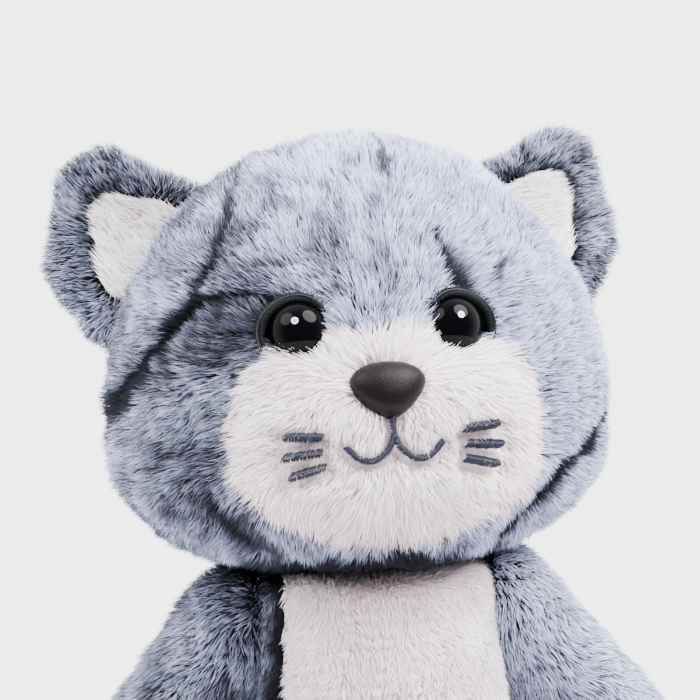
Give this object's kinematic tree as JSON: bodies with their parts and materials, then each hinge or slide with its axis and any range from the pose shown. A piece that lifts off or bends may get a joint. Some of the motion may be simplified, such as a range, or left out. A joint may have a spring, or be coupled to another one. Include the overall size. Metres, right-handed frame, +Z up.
{
  "type": "plush cat",
  "caption": "Seated stuffed plush cat with a round grey head, cream muzzle and bib, plastic eyes and nose, stitched mouth and whiskers, and sewn limbs that swing.",
  "frame": {"origin": "middle of the flat seat under the torso", "axes": "+Z up, -Y the way the cat faces, +X the cat's own left"},
  "size_m": [0.1982, 0.2277, 0.2522],
  "materials": {
    "plush_grey": "matte",
    "plush_dark": "matte",
    "plush_cream": "matte",
    "plush_pink": "matte",
    "stuffing": "matte",
    "pellet_cloth": "matte",
    "eye_plastic": "gloss",
    "nose_plastic": "satin",
    "washer_plastic": "satin",
    "thread_blue": "satin",
    "eyelid_cloth": "satin"
  },
  "bodies": {
    "torso": {"bib_panel": "plush_cream", "torso_panel_right": "plush_grey", "torso_panel_left": "plush_grey", "seat_panel": "plush_grey", "torso_stuffing": "stuffing", "pellet_bag": "pellet_cloth"},
    "neck": {"neck_sleeve": "plush_dark", "neck_stuffing": "stuffing"},
    "head": {"crown_panel_right": "plush_grey", "crown_panel_left": "plush_grey", "cheek_panel_right": "plush_grey", "cheek_panel_left": "plush_grey", "chin_panel": "plush_dark", "head_back_panel": "plush_grey", "muzzle_panel": "plush_cream", "head_stuffing": "stuffing", "ear_back_right": "plush_dark", "ear_back_left": "plush_dark", "ear_lining_right": "plush_pink", "ear_lining_left": "plush_pink", "eye_right": "eye_plastic", "eye_left": "eye_plastic", "eye_washer_right": "washer_plastic", "eye_washer_left": "washer_plastic", "eyelid_right": "eyelid_cloth", "eyelid_left": "eyelid_cloth", "nose": "nose_plastic", "nose_washer": "washer_plastic", "mouth_stitching": "thread_blue", "whisker_stitching_right": "thread_blue", "whisker_stitching_left": "thread_blue"},
    "arm_right": {"arm_cover_right": "plush_grey", "arm_stuffing_right": "stuffing"},
    "arm_left": {"arm_cover_left": "plush_grey", "arm_stuffing_left": "stuffing"},
    "leg_right": {"leg_cover_right": "plush_grey", "foot_cover_right": "plush_grey", "sole_pad_right": "plush_pink", "leg_stuffing_right": "stuffing"},
    "leg_left": {"leg_cover_left": "plush_grey", "foot_cover_left": "plush_grey", "sole_pad_left": "plush_pink", "leg_stuffing_left": "stuffing"},
    "tail": {"tail_cover": "plush_grey", "tail_stuffing": "stuffing"}
  },
  "joints": [
    {"name": "head_turn", "type": "hinge", "parent": "torso", "child": "neck", "pos_m": [0, 0, 0.116], "axis": [0, 0, 1], "range_deg": [-20, 20]},
    {"name": "head_nod", "type": "hinge", "parent": "neck", "child": "head", "pos_m": [0, 0, 0.116], "axis": [1, 0, 0], "range_deg": [-10, 10]},
    {"name": "arm_right_swing", "type": "hinge", "parent": "torso", "child": "arm_right", "pos_m": [-0.038, 0, 0.108], "axis": [-1, 0, 0], "range_deg": [-30, 75]},
    {"name": "arm_left_swing", "type": "hinge", "parent": "torso", "child": "arm_left", "pos_m": [0.038, 0, 0.108], "axis": [-1, 0, 0], "range_deg": [-30, 75]},
    {"name": "leg_right_lift", "type": "hinge", "parent": "torso", "child": "leg_right", "pos_m": [-0.03, -0.014, 0.024], "axis": [-1, 0, 0], "range_deg": [0, 25]},
    {"name": "leg_left_lift", "type": "hinge", "parent": "torso", "child": "leg_left", "pos_m": [0.03, -0.014, 0.024], "axis": [-1, 0, 0], "range_deg": [0, 25]},
    {"name": "tail_swing", "type": "hinge", "parent": "torso", "child": "tail", "pos_m": [0, 0.046, 0.0125], "axis": [0, 0, 1], "range_deg": [-30, 30]}
  ]
}
